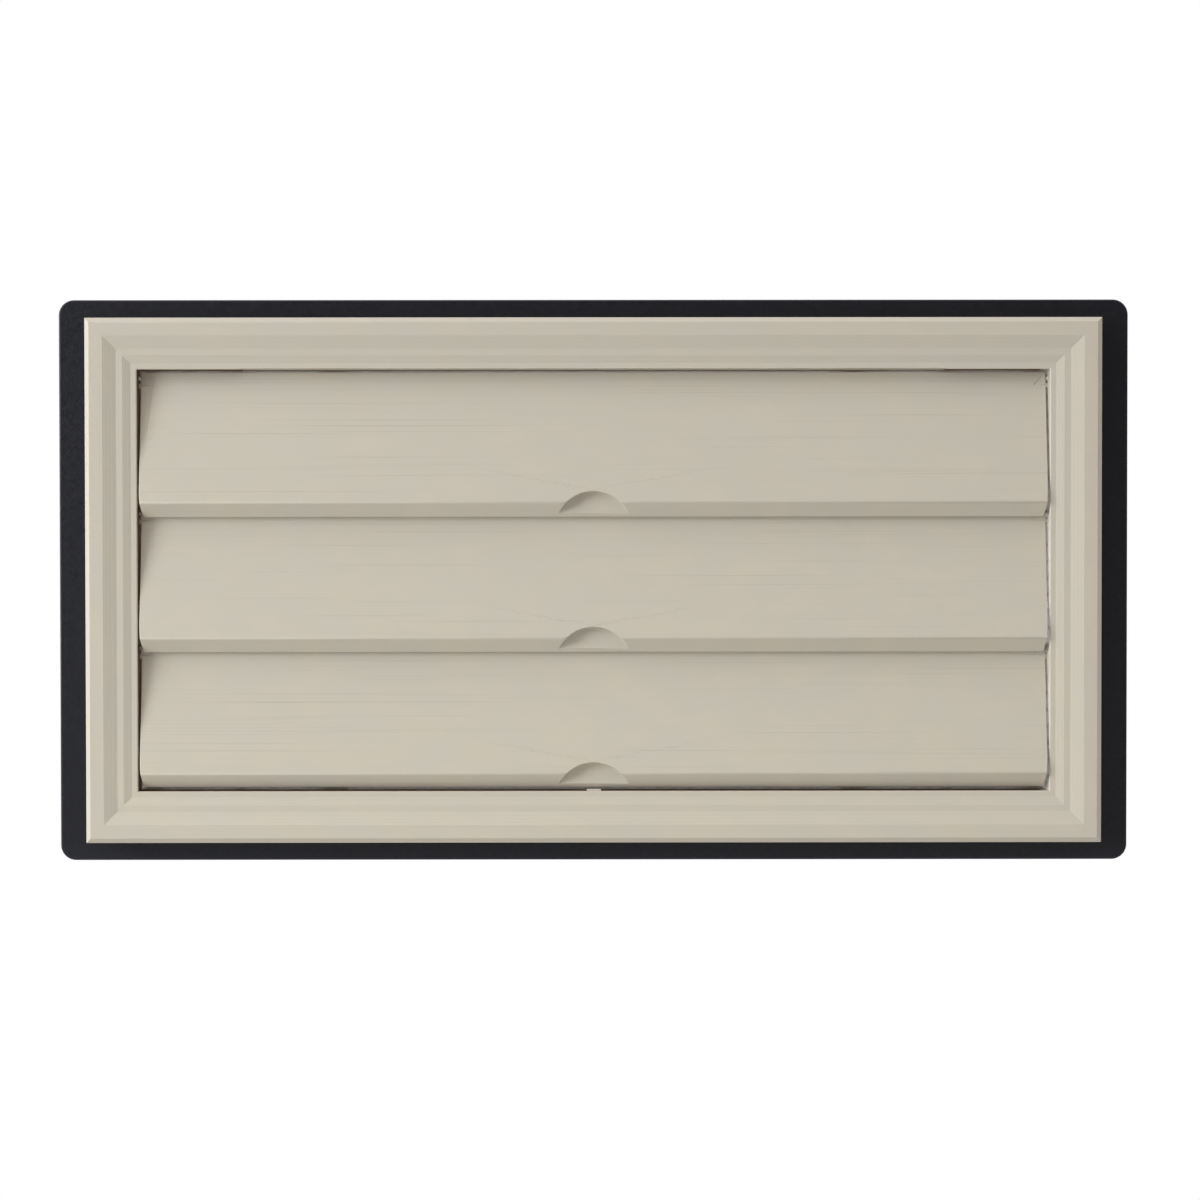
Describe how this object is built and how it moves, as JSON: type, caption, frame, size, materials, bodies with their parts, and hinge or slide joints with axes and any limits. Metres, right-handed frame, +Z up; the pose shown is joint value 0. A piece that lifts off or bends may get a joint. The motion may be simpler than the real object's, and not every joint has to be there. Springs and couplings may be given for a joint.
{
  "type": "foundation vent",
  "caption": "Rectangular foundation vent: stepped almond louver frame on a black flange plate, with overlapping hinged louvers, a rodent screen and a sleeve for a block opening.",
  "frame": {"origin": "centre of the flange plate's back face, on the wall's surface", "axes": "-Y out of the wall towards the viewer, +X to the viewer's right, +Z up"},
  "size_m": [0.45, 0.0729, 0.236],
  "materials": {
    "black_coat": "satin powder coat",
    "almond_frame": "moulded satin",
    "almond_louver": "moulded satin",
    "galvanised_wire": "galvanised",
    "rivet_alloy": "plain"
  },
  "bodies": {
    "vent_body": {"mounting_plate": "black_coat", "wall_sleeve": "black_coat", "louver_frame": "almond_frame", "rodent_screen": "galvanised_wire", "sleeve_rivets": "rivet_alloy"},
    "upper_flap": {"upper_louver": "almond_louver"},
    "middle_flap": {"middle_louver": "almond_louver"},
    "lower_flap": {"lower_louver": "almond_louver"}
  },
  "joints": [
    {"name": "upper_hinge", "type": "hinge", "parent": "vent_body", "child": "upper_flap", "pos_m": [0, -0.0072, 0.0813], "axis": [-1, 0, 0], "range_deg": [0, 80]},
    {"name": "middle_hinge", "type": "hinge", "parent": "vent_body", "child": "middle_flap", "pos_m": [0, -0.0072, 0.02487], "axis": [-1, 0, 0], "range_deg": [0, 80]},
    {"name": "lower_hinge", "type": "hinge", "parent": "vent_body", "child": "lower_flap", "pos_m": [0, -0.0072, -0.03157], "axis": [-1, 0, 0], "range_deg": [0, 80]}
  ]
}
